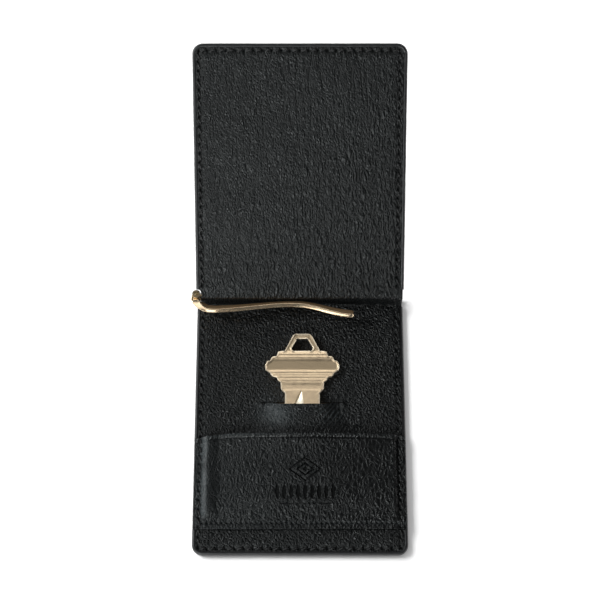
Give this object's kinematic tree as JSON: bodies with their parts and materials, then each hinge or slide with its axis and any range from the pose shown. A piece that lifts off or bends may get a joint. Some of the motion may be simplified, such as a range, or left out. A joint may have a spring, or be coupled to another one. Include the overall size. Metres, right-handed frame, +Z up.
{
  "type": "leather bifold money clip",
  "caption": "Opened leather bifold money clip with a sprung metal clip bar in the fold, a card pocket and a slit pocket that holds a house key.",
  "frame": {"origin": "middle of the back panel's outer leather face, which lies on the surface", "axes": "+X along the fold, from the clip's hinge towards its tip; +Y from the back panel towards the raised cover; +Z up, out of the back panel's lining"},
  "size_m": [0.082, 0.1807, 0.0613],
  "materials": {
    "outer_leather": "black grained leather, semi-gloss",
    "lining_leather": "black pebbled leather, satin",
    "stiffener_board": "matt bonded leather board",
    "pocket_fabric": "thin matt woven film",
    "thread": "waxed black thread",
    "clip_gilt": "polished pale gold plating",
    "hinge_pin": "polished",
    "spring_steel": "satin",
    "rivet": "satin",
    "key_brass": "coined and worn, semi-polished"
  },
  "bodies": {
    "back_panel": {"back_outer_leather": "outer_leather", "back_stiffener": "stiffener_board", "key_pocket_backing": "pocket_fabric", "back_lining": "lining_leather", "card_pocket": "lining_leather", "back_stitching": "thread", "card_pocket_stitching": "thread"},
    "spine_wall": {"spine_outer_leather": "outer_leather", "spine_lining": "lining_leather", "clip_backing_strip": "stiffener_board", "clip_back_bar": "clip_gilt", "clip_leaf_spring": "spring_steel", "clip_hinge_pin": "hinge_pin", "clip_rivet_left": "rivet", "clip_rivet_middle": "rivet", "clip_rivet_right": "rivet"},
    "cover": {"cover_lining": "lining_leather", "cover_stiffener": "stiffener_board", "cover_outer_leather": "outer_leather", "cover_stitching": "thread"},
    "arm": {"clip_arm": "clip_gilt"},
    "key": {"house_key": "key_brass"}
  },
  "joints": [
    {"name": "spine_fold", "type": "hinge", "parent": "back_panel", "child": "spine_wall", "pos_m": [0, 0.0486, 0.0016], "axis": [1, 0, 0], "range_deg": [-32, 0]},
    {"name": "cover_fold", "type": "hinge", "parent": "spine_wall", "child": "cover", "pos_m": [0, 0.0486, 0.011], "axis": [1, 0, 0], "range_deg": [0, 148]},
    {"name": "clip_open", "type": "hinge", "parent": "spine_wall", "child": "arm", "pos_m": [-0.0399, 0.0486, 0.0084], "axis": [0, 0, -1], "range_deg": [0, 80], "stiffness_Nm_per_rad": 0.03, "springref_deg": -11.46},
    {"name": "key_slide", "type": "slide", "parent": "back_panel", "child": "key", "axis": [0, 0.9992, 0.04], "range_m": [0, 0.008]}
  ]
}
